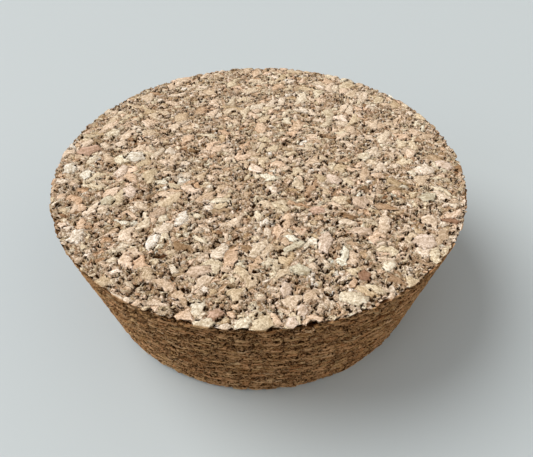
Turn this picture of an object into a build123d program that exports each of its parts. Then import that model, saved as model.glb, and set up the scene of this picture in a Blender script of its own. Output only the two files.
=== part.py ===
from build123d import *
from collections import namedtuple
from math import radians, tan
import os

# A cork stopper: one tapered disc, cut whole from a pressed block of cork granules.
# Millimetres, +Z up. The origin is the centre of the small face, which the stopper stands on.
# The side that the photograph shows is the -Y side.

# The disc.
top_diameter = 120.0
base_diameter = 106.0
height = 40.0

# The saw leaves the top rim nearly sharp. The base rim is rubbed a little rounder.
top_rim_radius = 0.35
base_rim_radius = 0.70

# Granules have torn out of the top rim. Each left a notch with sloping walls and a flat floor,
# open at the top and at the side. An azimuth is counted from +X towards +Y, in degrees.
RimNotch = namedtuple("RimNotch", "azimuth width inward depth")
rim_notches = [
    RimNotch(azimuth=-61.2, width=3.2, inward=1.2, depth=1.6),
    RimNotch(azimuth=-78.4, width=3.2, inward=1.9, depth=2.4),
    RimNotch(azimuth=-80.8, width=2.5, inward=1.1, depth=1.5),
    RimNotch(azimuth=-86.5, width=4.0, inward=1.3, depth=1.3),
    RimNotch(azimuth=-105.8, width=3.0, inward=1.1, depth=1.8),
]
notch_wall_slope = 20.0

# Single granules have also torn out of the top face. Each left a small steep pit.
# A turn of 0 lays the pit's length along X.
FacePit = namedtuple("FacePit", "radius azimuth length width depth turn")
face_pits = [
    FacePit(radius=43.2, azimuth=-91.0, length=1.8, width=1.2, depth=1.6, turn=20),
    FacePit(radius=45.4, azimuth=-91.6, length=1.5, width=0.9, depth=1.3, turn=100),
    FacePit(radius=45.0, azimuth=-122.0, length=4.2, width=1.6, depth=0.9, turn=10),
    FacePit(radius=24.9, azimuth=-51.4, length=1.6, width=1.0, depth=1.4, turn=30),
    FacePit(radius=17.1, azimuth=-76.3, length=1.4, width=1.0, depth=1.2, turn=-20),
]
pit_wall_slope = 12.0

# A granule is an uneven polygon. These are its corners on a square of side 1 about its middle.
granule_corners = [(0.50, 0.05), (0.20, 0.46), (-0.28, 0.50), (-0.50, -0.08), (-0.22, -0.50), (0.30, -0.40)]

# The inner edge of a notch, from one end on the rim to the other: along the rim as a share of
# the width, and into the disc as a share of the inward reach.
notch_corners = [(-0.50, 0.0), (-0.36, 0.66), (-0.04, 1.00), (0.30, 0.80), (0.50, 0.0)]

top_radius = top_diameter / 2
base_radius = base_diameter / 2

# How far the side leans in for each millimetre down from the top face.
side_lean = (top_radius - base_radius) / height


def granule_place(radius, azimuth, turn):
    """A plane on the top face, at a radius and an azimuth, turned in that face."""
    middle = Vector(radius, 0, height).rotate(Axis.Z, azimuth)
    along = Vector(1, 0, 0).rotate(Axis.Z, turn)
    return Plane(origin=middle, x_dir=along, z_dir=(0, 0, 1))


def notch_outline(notch):
    """The corners of a notch on the top face: X along the rim, Y out of the disc."""
    inner = [(share * notch.width, -reach * notch.inward) for share, reach in notch_corners]
    # The walls close in and the side leans away with depth, so the outline overruns the rim by more.
    overrun = notch.depth * (1 + tan(radians(notch_wall_slope)) + abs(side_lean))
    outer = [(notch.width / 2, overrun), (-notch.width / 2, overrun)]
    return inner + outer


with BuildPart() as cork_stopper:
    with BuildSketch(Plane.XZ) as half_section:
        with BuildLine():
            Polyline((0, 0), (base_radius, 0), (top_radius, height), (0, height), close=True)
        make_face()
        fillet(half_section.vertices().sort_by(Axis.X)[-1], top_rim_radius)
        fillet(half_section.vertices().group_by(Axis.Y)[0].sort_by(Axis.X)[-1], base_rim_radius)
    revolve(axis=Axis.Z)

    for notch in rim_notches:
        with BuildSketch(granule_place(top_radius, notch.azimuth, notch.azimuth + 90)) as rim_cut:
            with BuildLine():
                Polyline(*[(x, -y) for x, y in notch_outline(notch)], close=True)
            make_face()
        extrude(amount=-notch.depth, taper=notch_wall_slope, mode=Mode.SUBTRACT)

    for pit in face_pits:
        with BuildSketch(granule_place(pit.radius, pit.azimuth, pit.turn)) as pit_cut:
            with BuildLine():
                Polyline(*[(x * pit.length, y * pit.width) for x, y in granule_corners], close=True)
            make_face()
        extrude(amount=-pit.depth, taper=pit_wall_slope, mode=Mode.SUBTRACT)

cork_stopper.part.label = "cork_stopper"

os.makedirs("parts", exist_ok=True)
export_step(cork_stopper.part, "parts/cork_stopper.step")
print("volume", round(cork_stopper.part.volume), "mm3")
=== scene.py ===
import math
from collections import namedtuple

import bpy
import numpy as np
from mathutils import Matrix, Vector


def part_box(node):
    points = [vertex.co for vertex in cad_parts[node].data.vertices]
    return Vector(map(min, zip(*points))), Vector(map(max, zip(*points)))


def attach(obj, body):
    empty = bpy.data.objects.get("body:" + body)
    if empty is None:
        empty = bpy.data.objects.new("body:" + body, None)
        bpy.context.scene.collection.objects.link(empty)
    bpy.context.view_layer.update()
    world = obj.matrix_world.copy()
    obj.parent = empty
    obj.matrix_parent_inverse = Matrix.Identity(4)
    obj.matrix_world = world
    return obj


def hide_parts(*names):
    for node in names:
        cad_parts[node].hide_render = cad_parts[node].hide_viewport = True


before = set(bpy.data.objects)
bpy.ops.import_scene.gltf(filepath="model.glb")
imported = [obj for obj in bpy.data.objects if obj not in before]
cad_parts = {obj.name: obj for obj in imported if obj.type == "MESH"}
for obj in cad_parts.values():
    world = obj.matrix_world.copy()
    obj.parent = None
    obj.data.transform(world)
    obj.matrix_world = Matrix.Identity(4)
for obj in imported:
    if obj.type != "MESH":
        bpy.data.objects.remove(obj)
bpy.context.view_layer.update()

# The stopper's height and top radius in metres, read from the frame. Its base is a share of its top.
NODE = "cork_stopper"
low_corner, high_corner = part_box(NODE)
HEIGHT = high_corner.z
TOP_RADIUS = (high_corner.x - low_corner.x) / 2
BASE_SHARE = 106 / 120
BASE_RADIUS = TOP_RADIUS * BASE_SHARE

# How far the side leans out for each unit of height.
LEAN = (TOP_RADIUS - BASE_RADIUS) / HEIGHT

MM = 0.001

# How finely the surface is cut up before the relief is pressed into it, and what is kept of it.
VOXEL = 0.22 * MM
MOST_TRIANGLES = 196000
SHARP_ANGLE = math.radians(55)

# The direction that the relief is pressed along turns over this far on each side of a rim.
RIM_TURN = 3.0 * MM

# From here on, the lengths of granules and relief are in millimetres.
# The block was pressed, so its granules are this many times wider than thick.
PRESS = 3.4

# A granule is marked by chips of about this size.
CHIP = 0.6

# A kind of granule is about so wide, and so many times as long, with its length turned so many
# degrees from +X. This share of its cells are whole granules, and in the rest the smaller kinds show.
# big is 1 for a large granule and 0 for a crumb. The last two are the shares that are missing, on
# the faces and at the top rim.
Kind = namedtuple("Kind", "size longer turn share big lost lost_at_rim")
GRANULES = [
    Kind(size=0.75, longer=1.0, turn=0, share=1.0, big=0.0, lost=0.027, lost_at_rim=0.32),
    Kind(size=1.40, longer=1.5, turn=25, share=0.50, big=0.35, lost=0.0, lost_at_rim=0.20),
    Kind(size=2.40, longer=1.8, turn=-25, share=0.26, big=1.0, lost=0.0, lost_at_rim=0.0),
    Kind(size=3.00, longer=1.8, turn=65, share=0.22, big=1.0, lost=0.0, lost_at_rim=0.0),
]

# Farther than any border.
FAR = 9.0

# Three noises bend the granules' borders: the size of each one's grain and how far it moves them.
Warp = namedtuple("Warp", "size reach detail rough offset")
SWIRL = Warp(size=7.0, reach=5.0, detail=1.0, rough=0.5, offset=(0, 0, 0))
BEND = Warp(size=2.4, reach=1.8, detail=1.0, rough=0.5, offset=(9, 4, 21))
JAG = Warp(size=0.8, reach=1.3, detail=4.0, rough=0.8, offset=(0, 0, 0))
FLAKE_JAG = 1.4

# The flakes that stand out on the top face: the places of their middles, their lengths and widths,
# and the turn of the length from +X in degrees.
Flake = namedtuple("Flake", "colour x y length width turn")
FLAKES = [
    Flake("red", -52.3, 5.9, 7.0, 4.6, 30),
    Flake("grey", -37.3, 2.4, 6.2, 4.4, -10),
    Flake("cream", -46.9, 15.2, 4.8, 3.8, 20),
    Flake("pink", -40.1, -4.7, 5.4, 3.6, 75),
    Flake("pink", -35.9, -13.9, 4.8, 3.6, -50),
    Flake("olive", -41.3, -17.8, 4.4, 3.4, 60),
    Flake("grey", -55.6, -3.4, 5.4, 3.8, 100),
    Flake("tan", -26.7, -22.6, 4.4, 3.2, 40),
    Flake("pink", 21.5, -9.0, 5.0, 3.8, -40),
    Flake("cream", 31.6, 1.8, 4.6, 3.2, 65),
    Flake("olive", 46.5, -17.0, 5.0, 3.6, 10),
    Flake("red", 15.6, -22.1, 3.8, 3.0, 0),
    Flake("pink", 16.8, -34.0, 7.4, 3.6, 80),
    Flake("pink", 41.5, -33.9, 6.2, 4.6, 15),
    Flake("pink", 54.6, -2.6, 5.2, 3.8, -60),
    Flake("brown", 50.2, -26.4, 4.8, 2.2, -10),
    Flake("tan", 26.5, -30.1, 5.6, 3.2, 5),
    Flake("tan", 27.6, -18.8, 5.2, 4.2, 80),
    Flake("cream", 21.6, -51.4, 6.8, 3.8, -20),
    Flake("olive", 10.2, -43.0, 4.6, 3.6, -20),
    Flake("olive", 9.0, -35.3, 6.8, 2.2, 35),
    Flake("pink", 6.5, -48.8, 4.8, 2.6, 85),
    Flake("red", -9.2, -55.6, 4.0, 2.6, 20),
    Flake("cream", -11.6, -58.0, 4.6, 2.8, 5),
    Flake("cream", -3.0, -57.8, 4.0, 3.0, 50),
    Flake("pink", 7.4, -57.8, 3.0, 2.6, 80),
    Flake("pink", 9.9, -54.6, 3.2, 2.6, 60),
    Flake("tan", -14.0, -43.3, 5.8, 3.6, 15),
    Flake("cream", 31.2, -41.9, 3.8, 3.0, 60),
    Flake("brown", 25.0, -44.8, 3.4, 2.8, 70),
    Flake("cream", -10.5, -18.0, 6.3, 2.2, 2),
    Flake("cream", -14.4, -32.8, 4.6, 1.8, -35),
]
FLAKE_COLOURS = {
    "red": (0.66, 0.43, 0.30),
    "pink": (0.84, 0.65, 0.50),
    "cream": (0.88, 0.74, 0.54),
    "tan": (0.70, 0.51, 0.36),
    "olive": (0.67, 0.57, 0.40),
    "grey": (0.86, 0.75, 0.60),
    "brown": (0.36, 0.20, 0.12),
}
# A flake is a polygon of five sides. These are the ways to its sides, as shares of half its size.
FLAKE_SIDES = (1.00, 0.84, 1.08, 0.90, 1.02)
# Each flake's polygon is turned from the one before it by this share of a side.
FLAKE_STEP = 0.37
FLAKE_THICKNESS = 1.1
# What the named flakes have in place of a granule's chances. The first sets how far the edge is
# worn, and the last how far the flake lies below the saw's plane.
NAMED_CHANCES = (0.7, 0.31, 0.05)

# The saw leaves the granules' tops nearly in one plane: this is the most that one stands proud.
PROUD = 0.08

# The mesh is coarser than the shader, so in it the joints and worn edges are this much wider.
MESH_SPREAD = 0.10

# The cut side shows the granules edge on and is browner, and its tone also holds painted shade and painted
# warm bounce light. What lies deeper than a cut face is made darker and browner as painted shade.
SIDE_TONE_AND_SHADE = (0.57, 0.405, 0.26)
PAINTED_RECESS_SHADE = (0.80, 0.68, 0.56)
# This tone darkens the notches: partly the torn surface's own brown, partly painted shade.
TORN_TONE_AND_SHADE = (0.26, 0.17, 0.11)
JOINT_COLOUR = (0.060, 0.023, 0.006)

# The most that a spot is lighter than its granule's colour, and the powers by which a darker spot
# loses red, green and blue.
MOST_SHADE = 1.36
SHADE_POWERS = (1.0, 1.20, 1.48)

# The map of the export's colour picture, in shares of the picture. The side lies along its lower
# edge, in a strip for the front half and one for the back half. The round faces are above.
FRONT_STRIP = 0.005
BACK_STRIP = 0.200
STRIP_HEIGHT = 0.185
STRIP_LENGTH = 0.98
TOP_SIZE = 0.61
TOP_MIDDLE = (0.305, 0.695)
BASE_SIZE = 0.41
BASE_MIDDLE = (0.805, 0.805)
# A face that points up or down by more than this is in a round part of the map.
ROUND_PART = 0.6

# The floor goes this many metres each way from the middle.
FLOOR_REACH = 4.0
FLOOR_COLOUR = (0.60, 0.65, 0.66)
BACKDROP_COLOUR = (0.64, 0.69, 0.70)


class Graph:
    """Adds nodes to a node tree. A value is another node's socket, a number or a tuple of numbers."""

    def __init__(self, tree):
        self.tree = tree

    def put(self, value, socket):
        if isinstance(value, bpy.types.NodeSocket):
            self.tree.links.new(value, socket)
        else:
            socket.default_value = value

    def node(self, kind, inputs=None, **settings):
        made = self.tree.nodes.new(kind)
        for name, value in settings.items():
            setattr(made, name, value)
        for name, value in (inputs or {}).items():
            self.put(value, made.inputs[name])
        return made

    def math(self, operation, *values):
        made = self.node("ShaderNodeMath", operation=operation)
        for number, value in enumerate(values):
            self.put(value, made.inputs[number])
        return made.outputs[0]

    def vector(self, operation, *values):
        made = self.node("ShaderNodeVectorMath", operation=operation)
        for number, value in enumerate(values):
            place = "Scale" if operation == "SCALE" and number else number
            self.put(value, made.inputs[place])
        return made.outputs["Value" if operation in ("DOT_PRODUCT", "LENGTH") else "Vector"]

    def step(self, value, low, high, start=0.0, end=1.0):
        """A smooth step from start to end as the value goes from low to high."""
        made = self.node("ShaderNodeMapRange", interpolation_type="SMOOTHSTEP")
        for number, item in enumerate((value, low, high, start, end)):
            self.put(item, made.inputs[number])
        return made.outputs[0]

    def choose(self, factor, first, second, kind="FLOAT"):
        """first where the factor is 0, second where it is 1."""
        made = self.node("ShaderNodeMix", data_type=kind)
        place = {"FLOAT": 2, "VECTOR": 4}[kind]
        self.put(factor, made.inputs[0])
        self.put(first, made.inputs[place])
        self.put(second, made.inputs[place + 1])
        return made.outputs[{"FLOAT": 0, "VECTOR": 1}[kind]]

    def parts(self, value):
        made = self.node("ShaderNodeSeparateXYZ", {"Vector": value})
        return made.outputs[0], made.outputs[1], made.outputs[2]

    def turned(self, value, angle):
        """Three numbers turned about Z by an angle in radians."""
        made = self.node(
            "ShaderNodeVectorRotate",
            {"Vector": value, "Axis": (0, 0, 1), "Angle": angle},
            rotation_type="AXIS_ANGLE",
        )
        return made.outputs[0]

    def noise(self, place, size, detail=1.0, rough=0.5, offset=(0, 0, 0)):
        """Noise of one grain size: a number and three numbers, about 0.5."""
        shifted = self.vector("ADD", place, offset) if any(offset) else place
        made = self.node(
            "ShaderNodeTexNoise",
            {"Vector": shifted, "Scale": 1 / size, "Detail": detail, "Roughness": rough},
            noise_dimensions="3D",
        )
        return made.outputs[0], made.outputs[1]

    def chances(self, place, scale):
        """Three even chances that hold wherever the place is the same."""
        made = self.node(
            "ShaderNodeTexWhiteNoise",
            {"Vector": self.vector("SCALE", place, scale)},
            noise_dimensions="3D",
        )
        return made.outputs["Color"]

    def cells(self, place, size, feature):
        return self.node(
            "ShaderNodeTexVoronoi",
            {"Vector": place, "Scale": 1 / size},
            voronoi_dimensions="3D",
            feature=feature,
        )


def wander(g, place, warp):
    """One of the noises that bend the borders, as three numbers about zero."""
    noise = g.noise(place, warp.size, warp.detail, warp.rough, warp.offset)[1]
    return g.vector("SUBTRACT", noise, (0.5, 0.5, 0.5))


def border(g, place, kind):
    """One kind of granule at a place.

    Gives the way from the granule's middle, its chances, its neighbour's chances and the distance
    to the border between the two.
    """
    drawn = g.vector("MULTIPLY", g.turned(place, math.radians(-kind.turn)), (1 / kind.longer, 1, 1))
    own = g.cells(drawn, kind.size, "F1")
    other = g.cells(drawn, kind.size, "F2")
    middle, next_middle = own.outputs["Position"], other.outputs["Position"]
    halfway = g.vector("SCALE", g.vector("ADD", middle, next_middle), 0.5)
    across = g.vector("NORMALIZE", g.vector("SUBTRACT", next_middle, middle))
    near = g.vector("DOT_PRODUCT", g.vector("SUBTRACT", halfway, drawn), across)
    return g.vector("SUBTRACT", drawn, middle), own.outputs["Color"], other.outputs["Color"], near


def inside_flake(g, place, number, flake):
    """How far inside a named flake's border a place is. It is below zero outside the flake."""
    turn = math.radians(flake.turn)
    along = Vector((math.cos(turn), math.sin(turn), 0))
    across = Vector((-math.sin(turn), math.cos(turn), 0))
    from_middle = g.vector("SUBTRACT", place, (flake.x, flake.y, 0))
    most = -1.0
    for side in range(len(FLAKE_SIDES)):
        angle = 2 * math.pi * (side + FLAKE_STEP * number) / len(FLAKE_SIDES)
        reach = FLAKE_SIDES[(side + number) % len(FLAKE_SIDES)]
        way = along * (math.cos(angle) * 2 / flake.length) + across * (math.sin(angle) * 2 / flake.width)
        most = g.math("MAXIMUM", most, g.vector("DOT_PRODUCT", from_middle, tuple(way / reach)))
    return g.math("MULTIPLY", g.math("SUBTRACT", 1.0, most), flake.width / 2)


def flakes(g, place):
    """The named flakes: how far inside one a place is, that flake's colour and its turn."""
    inside, colour, lies = -FAR, (0.0, 0.0, 0.0), 0.0
    for number, flake in enumerate(FLAKES):
        depth = inside_flake(g, place, number, flake)
        here = g.math("GREATER_THAN", depth, 0.0)
        colour = g.choose(here, colour, FLAKE_COLOURS[flake.colour], "VECTOR")
        lies = g.choose(here, lies, math.radians(flake.turn))
        inside = g.math("MAXIMUM", inside, depth)
    near_top = g.math("GREATER_THAN", g.parts(place)[2], HEIGHT / MM - FLAKE_THICKNESS)
    return g.choose(near_top, -FAR, inside), colour, lies


def crowd(g, place, rim):
    """The granules of all the kinds together, with the larger ones over the smaller.

    Gives the distance to the granule's border, its chances, the way from its middle, whether it is
    missing and how big it is.
    """
    edge = chance = away = lost = big = None
    for kind in GRANULES:
        from_middle, own, beside, near = border(g, place, kind)
        first, second = g.parts(own)[:2]
        whole = g.math("LESS_THAN", first, kind.share)
        gone = g.math("LESS_THAN", second, g.choose(rim, kind.lost, kind.lost_at_rim))
        if edge is None:
            edge, chance, away, lost, big = near, own, from_middle, gone, kind.big
            continue
        by_whole = g.math("LESS_THAN", g.parts(beside)[0], kind.share)
        edge = g.choose(whole, g.math("MINIMUM", edge, g.choose(by_whole, FAR, near)), near)
        chance = g.choose(whole, chance, own, "VECTOR")
        away = g.choose(whole, away, from_middle, "VECTOR")
        lost = g.choose(whole, lost, gone)
        big = g.choose(whole, big, kind.big)
    return edge, chance, away, lost, big


def granules(g, place, facing):
    """All that is known of the granule about a place. edge is the distance to its border."""
    # This is 1 on the top, about 0.6 at its rim, a little below 0 on the side and -1 on the base.
    up = g.parts(facing)[2]
    rim = g.step(g.math("ABSOLUTE", g.math("SUBTRACT", up, 0.6)), 0.12, 0.34, 1.0, 0.0)
    side = g.step(g.math("ABSOLUTE", up), 0.5, 0.8, 1.0, 0.0)
    pressed = g.vector("MULTIPLY", place, (1, 1, PRESS))
    swirl, bend, jag = [wander(g, pressed, warp) for warp in (SWIRL, BEND, JAG)]
    warped = pressed
    for way, warp in ((swirl, SWIRL), (bend, BEND), (jag, JAG)):
        warped = g.vector("ADD", warped, g.vector("SCALE", way, warp.reach))
    edge, chance, away, lost, big = crowd(g, warped, rim)
    mix = g.chances(chance, 91.7)
    depth, named_colour, lies = flakes(g, g.vector("ADD", place, g.vector("SCALE", jag, FLAKE_JAG)))
    named = g.math("GREATER_THAN", depth, 0.0)
    outside = g.math("MINIMUM", edge, g.math("MULTIPLY", depth, -1.0))
    any_turn = g.math("MULTIPLY", g.parts(mix)[1], 40.0)
    # The joints are open where a noise is above the first of these, and wholly so above the second.
    low_gap, high_gap = g.choose(side, 0.53, 0.43), g.choose(side, 0.61, 0.55)
    return {
        "named": named,
        "named_colour": named_colour,
        "pressed": pressed,
        "warped": warped,
        "edge": g.choose(named, outside, depth),
        "chance": g.choose(named, mix, NAMED_CHANCES, "VECTOR"),
        "away": g.choose(named, away, g.vector("SCALE", place, 0.5), "VECTOR"),
        "grain": g.choose(named, any_turn, lies),
        "big": g.choose(named, big, 1.0),
        "open": g.step(g.noise(pressed, 1.1, 2.0, 0.6)[0], low_gap, high_gap),
        "side": side,
        "lost": g.choose(named, lost, 0.0),
    }


def worn_edge(g, f, spread):
    """How far a granule's edge is worn down. Each granule has its own share of this."""
    most = g.choose(g.parts(f["chance"])[0], 0.10, 0.38)
    return g.math("MULTIPLY", g.step(f["edge"], 0.0, 0.20 + spread, 1.0, 0.0), most)


def joint_depth(g, f, spread):
    """How deep the joint between granules is: deep where it is open, or where a crumb is lost."""
    open_width = g.choose(f["big"], 0.20 + spread, 0.32 + spread)
    width = g.choose(f["open"], 0.05 + spread, open_width)
    depth = g.choose(f["open"], 0.05, 0.95)
    joint = g.math("MULTIPLY", g.step(f["edge"], 0.0, width, 1.0, 0.0), depth)
    pit = g.math("MULTIPLY", f["lost"], g.step(f["edge"], 0.0, 0.14, 0.5, 1.1))
    return g.math("MAXIMUM", joint, pit)


def standing(g, f, facing):
    """How far a granule's top stands out from the sawn face. The relief has nothing proud on the base."""
    lean = g.vector("SUBTRACT", f["chance"], (0.5, 0.5, 0.5))
    slope = g.choose(f["named"], g.choose(f["big"], 0.45, 0.12), 0.0)
    tilt = g.math("MULTIPLY", g.vector("DOT_PRODUCT", f["away"], lean), slope)
    most_drop = g.choose(f["big"], 0.60, 0.36)
    drop = g.math("MULTIPLY", g.math("POWER", g.parts(f["chance"])[2], 1.5), most_drop)
    most = g.step(g.parts(facing)[2], -0.9, -0.5, 0.0, PROUD)
    return g.math("MINIMUM", most, g.math("ADD", g.math("SUBTRACT", tilt, drop), PROUD))


def carried(g, name):
    """The three numbers that each point of the fine mesh carries under a name."""
    return g.node("GeometryNodeInputNamedAttribute", {"Name": name}, data_type="FLOAT_VECTOR").outputs[0]


def geometry_tree():
    """The relief, pressed into a fine mesh along the direction that each point carries."""
    tree = bpy.data.node_groups.new("cork_relief", "GeometryNodeTree")
    tree.interface.new_socket("Geometry", in_out="INPUT", socket_type="NodeSocketGeometry")
    tree.interface.new_socket("Geometry", in_out="OUTPUT", socket_type="NodeSocketGeometry")
    g = Graph(tree)
    start, end = g.node("NodeGroupInput"), g.node("NodeGroupOutput")
    rest = carried(g, "rest")
    out = carried(g, "outward")
    f = granules(g, g.vector("SCALE", rest, 1 / MM), out)
    sunk = g.math("MAXIMUM", joint_depth(g, f, MESH_SPREAD), worn_edge(g, f, MESH_SPREAD))
    high = g.math("SUBTRACT", standing(g, f, out), sunk)
    push = g.vector("SCALE", out, g.math("MULTIPLY", high, MM))
    moved = g.node("GeometryNodeSetPosition", {"Geometry": start.outputs[0], "Offset": push})
    tree.links.new(moved.outputs[0], end.inputs[0])
    return tree


def baked(source, name):
    """A new mesh object from another object with its modifiers applied."""
    deps = bpy.context.evaluated_depsgraph_get()
    mesh = bpy.data.meshes.new_from_object(source.evaluated_get(deps), depsgraph=deps)
    made = bpy.data.objects.new(name, mesh)
    bpy.context.scene.collection.objects.link(made)
    return made


def smooth_step(values, low, high):
    t = np.clip((values - low) / (high - low), 0, 1)
    return t * t * (3 - 2 * t)


def outward(places):
    """The way each point of the surface faces, turned smoothly over the two rims."""
    radius = np.hypot(places[:, 0], places[:, 1])
    from_side = (BASE_RADIUS + LEAN * places[:, 2] - radius) / math.hypot(1, LEAN)
    from_top = HEIGHT - places[:, 2]
    from_base = places[:, 2]
    around = places[:, :2] / np.maximum(radius, 1e-6)[:, None]
    side = np.column_stack([around, np.full(len(places), -LEAN)])
    upper = places[:, 2] > HEIGHT / 2
    up = np.where(upper, smooth_step(from_side - from_top, -RIM_TURN, RIM_TURN), 0)[:, None]
    down = np.where(upper, 0, smooth_step(from_side - from_base, -RIM_TURN, RIM_TURN))[:, None]
    faces = side * (1 - up) * (1 - down) + np.array([0, 0, 1]) * up + np.array([0, 0, -1]) * down
    return faces / np.maximum(np.linalg.norm(faces, axis=1), 1e-9)[:, None]


def store(mesh, name, values):
    """Three numbers for each point of a mesh, kept under a name."""
    made = mesh.attributes.new(name, "FLOAT_VECTOR", "POINT")
    made.data.foreach_set("vector", values.astype(np.float32).ravel())


def rows(items, name):
    """Three numbers for each of a mesh's points, read from it."""
    found = np.empty(len(items) * 3, np.float32)
    items.foreach_get(name, found)
    return found.reshape(-1, 3).astype(float)


def bake_map(mesh):
    """The map for the colour picture that is made at export."""
    corner_points = np.empty(len(mesh.loops), np.int32)
    mesh.loops.foreach_get("vertex_index", corner_points)
    sizes = np.array([len(face.vertices) for face in mesh.polygons])
    starts = np.concatenate([[0], np.cumsum(sizes)[:-1]])
    corners = rows(mesh.attributes["rest"].data, "vector")[corner_points]
    middles = np.add.reduceat(corners, starts, axis=0) / sizes[:, None]
    up = np.repeat(outward(middles)[:, 2], sizes)
    front = np.repeat(middles[:, 1] < 0, sizes)
    # Each strip holds half a turn and a little margin.
    half = np.pi * 1.02
    turn = np.arctan2(corners[:, 1], corners[:, 0]) + np.where(front, np.pi / 2, -np.pi / 2)
    turn = (turn + np.pi) % (2 * np.pi) - np.pi
    high = 0.02 + 0.96 * corners[:, 2] / HEIGHT
    across = corners[:, :2] / (2.04 * TOP_RADIUS)
    strip = np.where(front, FRONT_STRIP, BACK_STRIP)
    side = np.column_stack([0.5 + STRIP_LENGTH * turn / half, strip + STRIP_HEIGHT * high])
    top = TOP_SIZE * across + TOP_MIDDLE
    base = BASE_SIZE * across * (1, -1) + BASE_MIDDLE
    lower = np.where((up < -ROUND_PART)[:, None], base, side)
    placed = np.where((up > ROUND_PART)[:, None], top, lower)
    made = mesh.uv_layers.new(name="OFBake")
    made.data.foreach_set("uv", placed.astype(np.float32).ravel())


def cork_body():
    """The stopper: the CAD solid's own surface, cut up finely, with the granules' relief pressed in."""
    plain = bpy.data.objects.new("plain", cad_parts[NODE].data.copy())
    bpy.context.scene.collection.objects.link(plain)
    remesh = plain.modifiers.new("fine", "REMESH")
    remesh.mode = "VOXEL"
    remesh.voxel_size = VOXEL
    fine = baked(plain, "fine")
    places = rows(fine.data.vertices, "co")
    store(fine.data, "rest", places)
    store(fine.data, "outward", outward(places))
    fine.modifiers.new("relief", "NODES").node_group = geometry_tree()
    rough = baked(fine, "rough")
    thin = rough.modifiers.new("thin", "DECIMATE")
    thin.ratio = MOST_TRIANGLES / sum(len(p.vertices) - 2 for p in rough.data.polygons)
    body = baked(rough, "granulated_body")
    for spare in (plain, fine, rough):
        bpy.data.objects.remove(spare)
    body.data.materials.clear()
    body.data.materials.append(cork_material())
    body.data.shade_smooth()
    body.data.set_sharp_from_angle(angle=SHARP_ANGLE)
    bake_map(body.data)
    return body


def torn(g, place):
    """1 inside the notches and pits, where granules have torn out, and 0 on the sawn faces."""
    z = g.parts(place)[2]
    radius = g.vector("LENGTH", g.vector("MULTIPLY", place, (1, 1, 0)))
    reach = g.math("ADD", g.math("MULTIPLY", z, LEAN), BASE_RADIUS / MM)
    from_side = g.math("SUBTRACT", reach, radius)
    from_top = g.math("SUBTRACT", HEIGHT / MM, z)
    return g.step(g.math("MINIMUM", g.math("MINIMUM", from_side, from_top), z), 0.15, 0.55)


def ramp(g, value, stops):
    """A colour for each value from 0 to 1, by its stops."""
    made = g.node("ShaderNodeValToRGB")
    elements = made.color_ramp.elements
    while len(elements) < len(stops):
        elements.new(0.5)
    for element, (place, colour) in zip(elements, stops):
        element.position = place
        element.color = (*colour, 1)
    g.put(value, made.inputs[0])
    return made.outputs[0]


def granule_colour(g, f):
    """Each granule's own colour, by its lightness and tint, or the named flake's."""
    first, second = g.parts(f["chance"])[:2]
    lightness = [
        (0.000, (0.350, 0.210, 0.110)),
        (0.030, (0.570, 0.405, 0.260)),
        (0.100, (0.755, 0.575, 0.400)),
        (0.350, (0.810, 0.632, 0.455)),
        (0.700, (0.860, 0.690, 0.515)),
        (0.920, (0.900, 0.745, 0.575)),
        (1.000, (0.950, 0.850, 0.715)),
    ]
    tint = [
        (0.00, (1.05, 0.94, 0.88)),
        (0.25, (1.02, 0.98, 0.96)),
        (0.55, (1.00, 1.00, 1.00)),
        (0.85, (0.99, 0.99, 0.90)),
        (0.96, (0.96, 0.99, 0.94)),
        (1.00, (0.94, 0.98, 0.97)),
    ]
    colour = g.vector("MULTIPLY", ramp(g, first, lightness), ramp(g, second, tint))
    return g.choose(f["named"], colour, f["named_colour"], "VECTOR")


def chips(g, f):
    """Two chances that hold over each small chip of a granule."""
    middle = g.cells(f["warped"], CHIP, "F1").outputs["Position"]
    return g.parts(g.chances(middle, 7.13))[:2]


def light_and_dark(g, f, chip):
    """How much lighter or darker than its granule's own colour each spot is. Pale edges are partly the
    paler frayed cells of a cut edge and partly a painted highlight.
    """
    turned = g.turned(f["away"], g.math("MULTIPLY", f["grain"], -1.0))
    streak = g.noise(g.vector("MULTIPLY", turned, (0.16, 1, 0.6)), 0.38, 2.0, 0.6, (3, 17, 8))[0]
    mottle = g.noise(f["pressed"], 0.65, 3.0, 0.8)[0]
    fleck = g.noise(f["pressed"], 0.31, 1.0, 0.6, (31, 7, 3))[0]
    pale, dark = g.choose(f["side"], 1.28, 1.60), g.choose(f["side"], 0.76, 0.52)
    least, most = g.choose(f["big"], 0.64, 0.86), g.choose(f["big"], 1.46, 1.16)
    # Pale edges: partly the paler frayed cells of a cut edge, partly a painted highlight.
    frayed_edge_and_highlight = g.math("MULTIPLY", g.step(f["edge"], 0.12, 0.40, 1.0, 0.0), g.step(fleck, 0.38, 0.52, 1.0, 0.0))
    shade = g.step(streak, 0.3, 0.7, 1.18, 0.78)
    for change in (
        g.choose(chip, least, most),
        g.step(mottle, 0.25, 0.75, pale, dark),
        g.step(fleck, 0.57, 0.65, 1.0, g.choose(f["big"], 0.44, 0.76)),
        g.step(fleck, 0.35, 0.43, g.choose(f["big"], 1.30, 1.14), 1.0),
        g.math("ADD", 1.0, g.math("MULTIPLY", frayed_edge_and_highlight, 0.35)),
    ):
        shade = g.math("MULTIPLY", shade, change)
    return g.math("MINIMUM", MOST_SHADE, shade)


def toned(g, colour, shade):
    """A colour made lighter or darker as cork is: what is darker is browner too."""
    made = g.node("ShaderNodeCombineXYZ")
    for number, power in enumerate(SHADE_POWERS):
        g.put(g.math("POWER", shade, power), made.inputs[number])
    return g.vector("MULTIPLY", colour, made.outputs[0])


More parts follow.
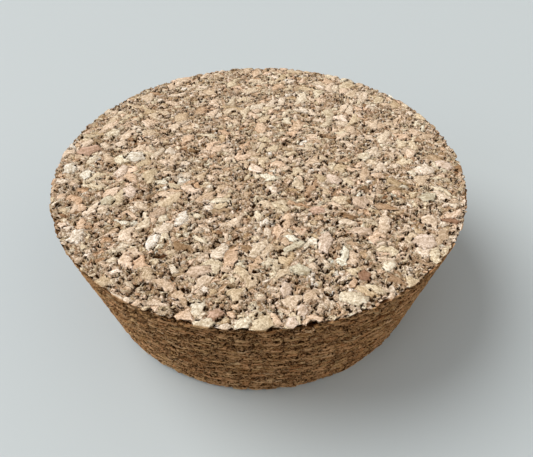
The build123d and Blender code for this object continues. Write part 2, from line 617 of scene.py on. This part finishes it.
def cork_colour(g, f, place, chip, joint, level):
    """The colour of pressed cork, with painted shade on the side, where it lies low and in the notches.
    The side and the notches are also browner in themselves. level is how high the granule stands here,
    less its wear.
    """
    colour = toned(g, granule_colour(g, f), light_and_dark(g, f, chip))
    # Painted shade: the lower a spot lies, the darker and browner it is made, and the side is made
    # browner, partly as its own tone and partly as painted shade and warm light.
    recess_shade = g.step(level, -0.55, -0.06, 1.0, 0.0)
    for share, tone in ((f["side"], SIDE_TONE_AND_SHADE), (recess_shade, PAINTED_RECESS_SHADE)):
        colour = g.vector("MULTIPLY", colour, g.choose(share, (1, 1, 1), tone, "VECTOR"))
    colour = g.choose(g.step(joint, 0.05, 0.70), colour, JOINT_COLOUR, "VECTOR")
    # The notches are darkened, partly as the torn surface's own brown and partly as painted shade.
    return g.vector("MULTIPLY", colour, g.choose(torn(g, place), (1, 1, 1), TORN_TONE_AND_SHADE, "VECTOR"))


def cork_bump(g, f, chip, top, sunk):
    """The relief again and what is finer than the mesh, as a bump."""
    fine = g.noise(f["pressed"], 0.25, 2.0, 0.7, (5, 9, 2))[0]
    high = g.math("ADD", top, g.math("MULTIPLY", fine, 0.15))
    high = g.math("ADD", high, g.math("MULTIPLY", chip, g.choose(f["big"], 0.22, 0.09)))
    height = g.math("MULTIPLY", g.math("SUBTRACT", high, sunk), MM)
    settings = {"Strength": 0.85, "Distance": 1.0, "Filter Width": 0.25, "Height": height}
    return g.node("ShaderNodeBump", settings).outputs[0]


def cork_material():
    """Pressed cork: each granule has its own colour and grain, and the joints are dark."""
    material = bpy.data.materials.new("pressed_cork")
    material.use_nodes = True
    tree = material.node_tree
    tree.nodes.clear()
    g = Graph(tree)
    rest, facing = [
        g.node("ShaderNodeAttribute", attribute_type="GEOMETRY", attribute_name=name).outputs["Vector"]
        for name in ("rest", "outward")
    ]
    place = g.vector("SCALE", rest, 1 / MM)
    f = granules(g, place, facing)
    colour_chip, bump_chip = chips(g, f)
    joint = joint_depth(g, f, 0.0)
    top = standing(g, f, facing)
    worn = worn_edge(g, f, 0.0)
    finish = {
        "Base Color": cork_colour(g, f, place, colour_chip, joint, g.math("SUBTRACT", top, worn)),
        "Roughness": 0.9,
        "Specular IOR Level": 0.03,
        "Normal": cork_bump(g, f, bump_chip, top, g.math("MAXIMUM", joint, worn)),
    }
    shader = g.node("ShaderNodeBsdfPrincipled", finish)
    g.node("ShaderNodeOutputMaterial", {"Surface": shader.outputs[0]})
    return material


def flat_material(name, colour):
    material = bpy.data.materials.new(name)
    material.use_nodes = True
    shader = material.node_tree.nodes["Principled BSDF"]
    shader.inputs["Base Color"].default_value = (*colour, 1)
    shader.inputs["Roughness"].default_value = 0.7
    return material


def floor():
    """A plain square that the stopper stands on."""
    reach = FLOOR_REACH
    corners = [(-reach, -reach, 0), (reach, -reach, 0), (reach, reach, 0), (-reach, reach, 0)]
    mesh = bpy.data.meshes.new("floor")
    mesh.from_pydata(corners, [], [(0, 1, 2, 3)])
    made = bpy.data.objects.new("floor", mesh)
    bpy.context.scene.collection.objects.link(made)
    mesh.materials.append(flat_material("floor", FLOOR_COLOUR))


# The camera, as fitted to the stopper's outline in the photograph of 533 by 457 pixels.
PHOTO_WIDTH = 533
LENS_PIXELS = 485.3
SENSOR_WIDTH = 36
PITCH = math.radians(44.55)
ROLL = math.radians(-0.30)
DISTANCE = 2.4203 * TOP_RADIUS
SIDE_SHIFT = 0.0367 * TOP_RADIUS
RISE_SHIFT = -0.3409 * TOP_RADIUS


def camera():
    """The camera stands on the -Y side and looks down at the stopper."""
    data = bpy.data.cameras.new("camera")
    data.sensor_width = SENSOR_WIDTH
    data.lens = data.sensor_width * LENS_PIXELS / PHOTO_WIDTH
    data.clip_start = 0.01
    made = bpy.data.objects.new("camera", data)
    bpy.context.scene.collection.objects.link(made)
    ahead = Vector((0, math.cos(PITCH), -math.sin(PITCH)))
    right = Vector((1, 0, 0))
    up = right.cross(ahead)
    right, up = (
        right * math.cos(ROLL) + up * math.sin(ROLL),
        up * math.cos(ROLL) - right * math.sin(ROLL),
    )
    eye = Vector((0, 0, HEIGHT)) - ahead * DISTANCE + right * SIDE_SHIFT + up * RISE_SHIFT
    turn = Matrix((right, up, -ahead)).transposed().to_4x4()
    made.matrix_world = Matrix.Translation(eye) @ turn
    bpy.context.scene.camera = made


def sun(name, towards, strength, spread, colour):
    """A distant soft light that shines from a direction, with its angular size in degrees."""
    data = bpy.data.lights.new(name, "SUN")
    data.energy = strength
    data.angle = math.radians(spread)
    data.color = colour
    made = bpy.data.objects.new(name, data)
    bpy.context.scene.collection.objects.link(made)
    made.rotation_euler = Vector(towards).to_track_quat("Z", "Y").to_euler()


def lights():
    """A wide light from the left and behind, a weak cool one from the left, a weak warm one from the
    right, and light from all round."""
    sun("window", towards=(-0.95, 0.32, 1.15), strength=2.25, spread=42, colour=(0.99, 0.99, 0.985))
    sun("left", towards=(-0.90, -0.55, 0.20), strength=0.70, spread=60, colour=(0.88, 0.94, 1.0))
    sun("room", towards=(0.95, -0.20, 0.70), strength=0.34, spread=60, colour=(1.0, 0.78, 0.50))
    world = bpy.data.worlds.new("room")
    bpy.context.scene.world = world
    world.use_nodes = True
    g = Graph(world.node_tree)
    all_round = world.node_tree.nodes["Background"]
    all_round.inputs["Color"].default_value = (0.97, 0.98, 1.0, 1)
    all_round.inputs["Strength"].default_value = 0.38
    # The camera sees a backdrop as pale as the floor, which lights nothing.
    backdrop = g.node("ShaderNodeBackground", {"Color": (*BACKDROP_COLOUR, 1), "Strength": 1.0})
    seen = g.node("ShaderNodeLightPath").outputs["Is Camera Ray"]
    either = g.node("ShaderNodeMixShader", {0: seen, 1: all_round.outputs[0], 2: backdrop.outputs[0]})
    g.put(either.outputs[0], world.node_tree.nodes["World Output"].inputs["Surface"])


body = cork_body()
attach(body, "root")
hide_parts(NODE)
floor()
camera()
lights()
bpy.context.scene.view_settings.view_transform = "Standard"
